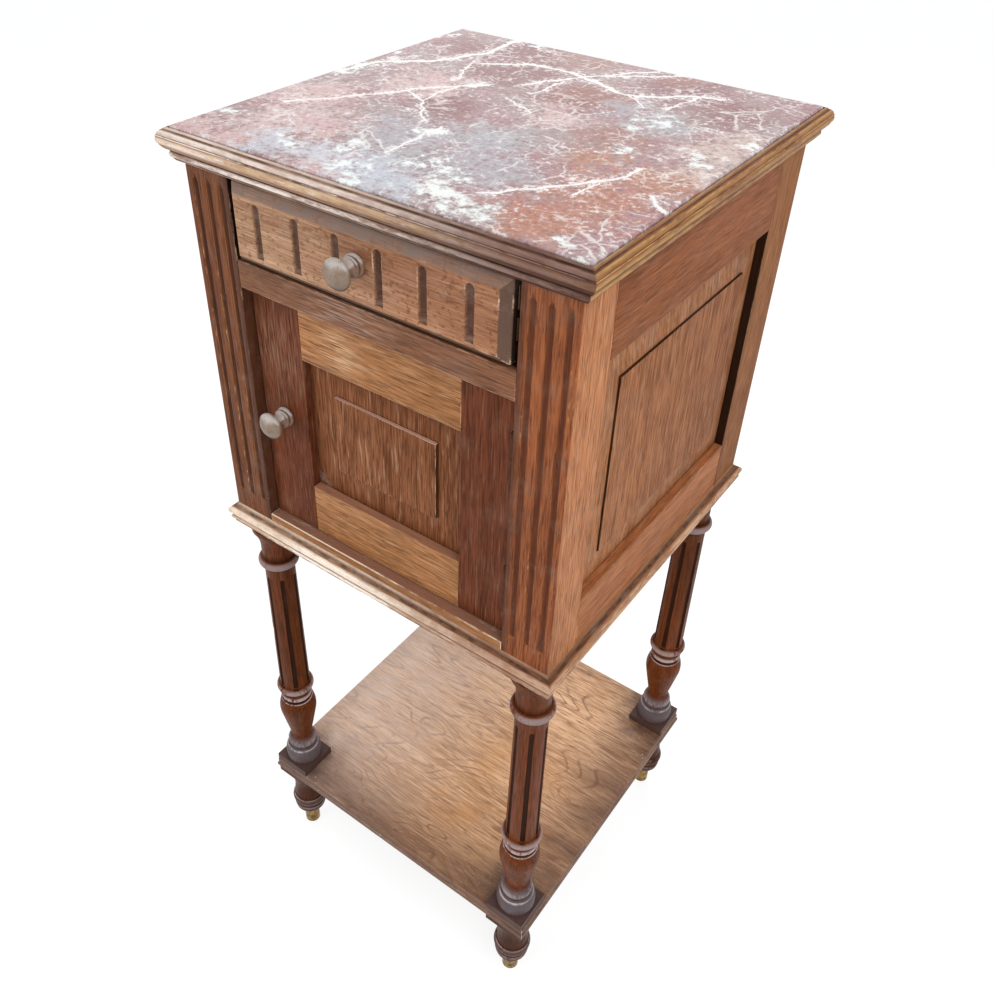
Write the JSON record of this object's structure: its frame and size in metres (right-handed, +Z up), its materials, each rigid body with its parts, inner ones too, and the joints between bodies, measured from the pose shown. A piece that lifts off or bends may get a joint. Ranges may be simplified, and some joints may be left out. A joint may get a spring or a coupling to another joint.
{
  "type": "nightstand",
  "caption": "Oak nightstand with an inset marble top, a fluted drawer over a panelled hinged door, and a lower shelf carried between turned fluted legs on turned feet.",
  "frame": {"origin": "on the floor, under the middle of the case", "axes": "+Z up, the front with the drawer and the door faces -Y, +X is to the right seen from the front"},
  "size_m": [0.366, 0.3825, 0.857],
  "materials": {
    "marble": "satin",
    "oak_case": "satin",
    "oak_moulding": "satin",
    "oak_inner": "matte",
    "oak_turned": "satin",
    "oak_shelf": "satin",
    "oak_drawer_front": "satin",
    "oak_door": "satin",
    "knob_wood": "matte",
    "tip_brass": "satin",
    "hinge_iron": "satin"
  },
  "bodies": {
    "root": {"marble_top": "marble", "post_front_left": "oak_case", "post_front_right": "oak_case", "post_back_left": "oak_case", "post_back_right": "oak_case", "side_rail_top_left": "oak_case", "side_rail_top_right": "oak_case", "side_rail_bottom_left": "oak_case", "side_rail_bottom_right": "oak_case", "side_panel_left": "oak_case", "side_panel_right": "oak_case", "threshold_rail": "oak_case", "drawer_rail": "oak_case", "cornice_front": "oak_moulding", "cornice_back": "oak_moulding", "cornice_left": "oak_moulding", "cornice_right": "oak_moulding", "base_moulding_front": "oak_moulding", "base_moulding_back": "oak_moulding", "base_moulding_left": "oak_moulding", "base_moulding_right": "oak_moulding", "drawer_runner_left": "oak_inner", "drawer_runner_right": "oak_inner", "back_rail_top": "oak_inner", "back_rail_bottom": "oak_inner", "back_panel": "oak_inner", "case_floor": "oak_inner", "dust_panel": "oak_inner", "door_stop": "oak_inner", "leg_front_left": "oak_turned", "leg_front_right": "oak_turned", "leg_back_left": "oak_turned", "leg_back_right": "oak_turned", "foot_front_left": "oak_turned", "foot_front_right": "oak_turned", "foot_back_left": "oak_turned", "foot_back_right": "oak_turned", "foot_tip_front_left": "tip_brass", "foot_tip_front_right": "tip_brass", "foot_tip_back_left": "tip_brass", "foot_tip_back_right": "tip_brass", "shelf": "oak_shelf", "hinge_case_leaves": "hinge_iron", "hinge_pins": "hinge_iron", "hinge_case_screws": "hinge_iron"},
    "drawer": {"drawer_front": "oak_drawer_front", "drawer_knob": "knob_wood", "drawer_side_left": "oak_inner", "drawer_side_right": "oak_inner", "drawer_back": "oak_inner", "drawer_bottom": "oak_inner"},
    "door": {"door_stile_left": "oak_door", "door_stile_right": "oak_door", "door_rail_top": "oak_door", "door_rail_bottom": "oak_door", "door_panel": "oak_door", "door_knob": "knob_wood", "hinge_door_leaves": "hinge_iron", "hinge_door_screws": "hinge_iron"}
  },
  "joints": [
    {"name": "drawer_slide", "type": "slide", "parent": "root", "child": "drawer", "axis": [0, -1, 0], "range_m": [0, 0.2]},
    {"name": "door_hinge", "type": "hinge", "parent": "root", "child": "door", "pos_m": [0.1237, -0.1628, 0.6292], "axis": [0, 0, 1], "range_deg": [0, 110]}
  ]
}
